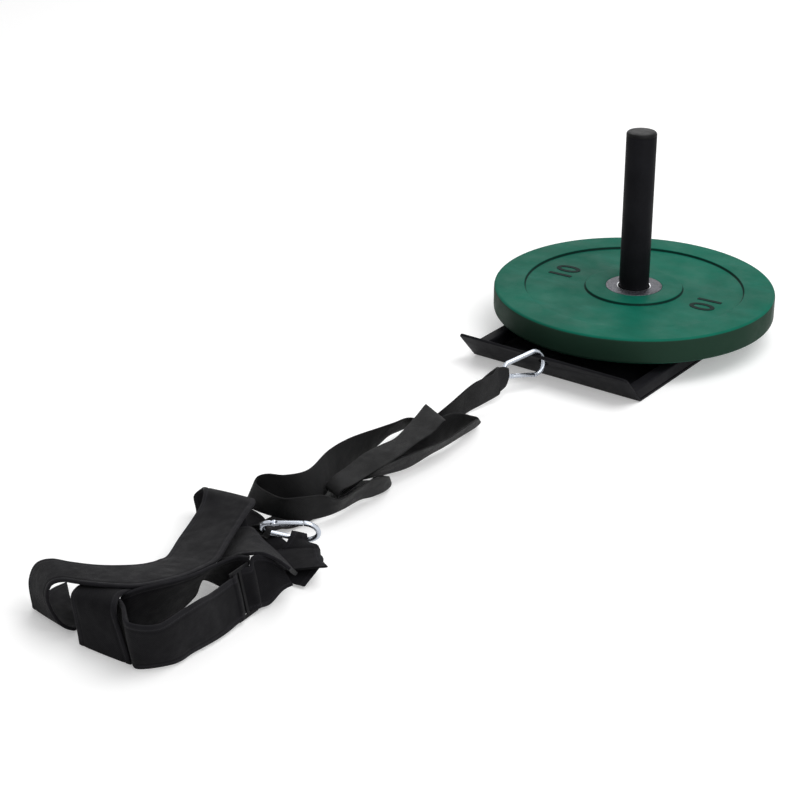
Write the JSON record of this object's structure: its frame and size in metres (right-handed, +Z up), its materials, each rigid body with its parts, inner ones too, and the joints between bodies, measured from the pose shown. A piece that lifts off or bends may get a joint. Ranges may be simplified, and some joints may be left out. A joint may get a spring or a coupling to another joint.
{
  "type": "drag sled with harness",
  "caption": "Low steel drag sled with a weight post and bumper plate, pulled by a folded webbing strap and a shoulder harness joined by snap hooks.",
  "frame": {"origin": "on the floor, at the middle of the tray's underside below the post's axis", "axes": "+Z up along the post, -Y the way the sled is pulled, +X across the tray"},
  "size_m": [0.45, 1.4649, 0.337],
  "materials": {
    "black_powder_coat": "fine matt black powder coat",
    "black_plastic": "satin black moulding",
    "zinc_plate": "bright zinc plated steel",
    "hub_steel": "turned steel",
    "green_rubber": "moulded green rubber",
    "black_webbing": "woven black webbing",
    "black_padded_web": "thick soft black webbing with bound edges"
  },
  "bodies": {
    "sled": {"tray_sheet": "black_powder_coat", "left_rail": "black_powder_coat", "right_rail": "black_powder_coat", "rear_rail": "black_powder_coat", "left_rail_plug": "black_plastic", "right_rail_plug": "black_plastic", "cross_member": "black_powder_coat", "post_foot": "black_powder_coat", "left_foot_screw": "zinc_plate", "right_foot_screw": "zinc_plate", "post_stop_collar": "black_powder_coat", "post_tube": "black_powder_coat", "post_cap": "black_plastic"},
    "plate": {"plate_rubber": "green_rubber", "plate_hub": "hub_steel"},
    "front_hook": {"front_hook_body": "zinc_plate", "front_hook_gate_pin": "zinc_plate"},
    "front_gate": {"front_hook_gate": "zinc_plate", "front_hook_gate_spring": "zinc_plate"},
    "strap": {"pull_strap": "black_webbing"},
    "harness_hook": {"harness_hook_body": "zinc_plate", "harness_hook_gate_pin": "zinc_plate"},
    "harness_gate": {"harness_hook_gate": "zinc_plate", "harness_hook_gate_spring": "zinc_plate"},
    "harness": {"back_panel": "black_padded_web", "left_shoulder_strap": "black_padded_web", "right_shoulder_strap": "black_padded_web", "inner_shoulder_strap": "black_padded_web", "front_strap": "black_padded_web", "cross_strap": "black_padded_web", "tail_strap": "black_padded_web", "strap_slider": "black_plastic"}
  },
  "joints": [
    {"name": "plate_slide", "type": "slide", "parent": "sled", "child": "plate", "axis": [0, 0, 1], "range_m": [0, 0.25]},
    {"name": "front_hook_swing", "type": "hinge", "parent": "sled", "child": "front_hook", "pos_m": [-0.002, -0.2645, 0.04], "axis": [0, 0, 1], "range_deg": [-6, 6]},
    {"name": "front_gate_hinge", "type": "hinge", "parent": "front_hook", "child": "front_gate", "pos_m": [-0.02198, -0.31899, 0.02896], "axis": [0.9068, -0.3725, 0.1975], "range_deg": [0, 20], "stiffness_Nm_per_rad": 0.05, "springref_deg": -45.84},
    {"name": "strap_swing", "type": "hinge", "parent": "front_hook", "child": "strap", "pos_m": [-0.02974, -0.33202, 0.04], "axis": [0, 0, 1], "range_deg": [-4, 4]},
    {"name": "harness_hook_swing", "type": "hinge", "parent": "strap", "child": "harness_hook", "pos_m": [-0.00789, -0.91769, 0.0307], "axis": [0, 0, 1], "range_deg": [-2, 2]},
    {"name": "harness_gate_hinge", "type": "hinge", "parent": "harness_hook", "child": "harness_gate", "pos_m": [0.00668, -0.91868, 0.04791], "axis": [-0.4637, 0.7708, 0.4369], "range_deg": [0, 20], "stiffness_Nm_per_rad": 0.05, "springref_deg": -45.84},
    {"name": "harness_swing", "type": "hinge", "parent": "harness_hook", "child": "harness", "pos_m": [0.02419, -0.89218, 0.01974], "axis": [0, 0, 1], "range_deg": [-2, 2]}
  ]
}
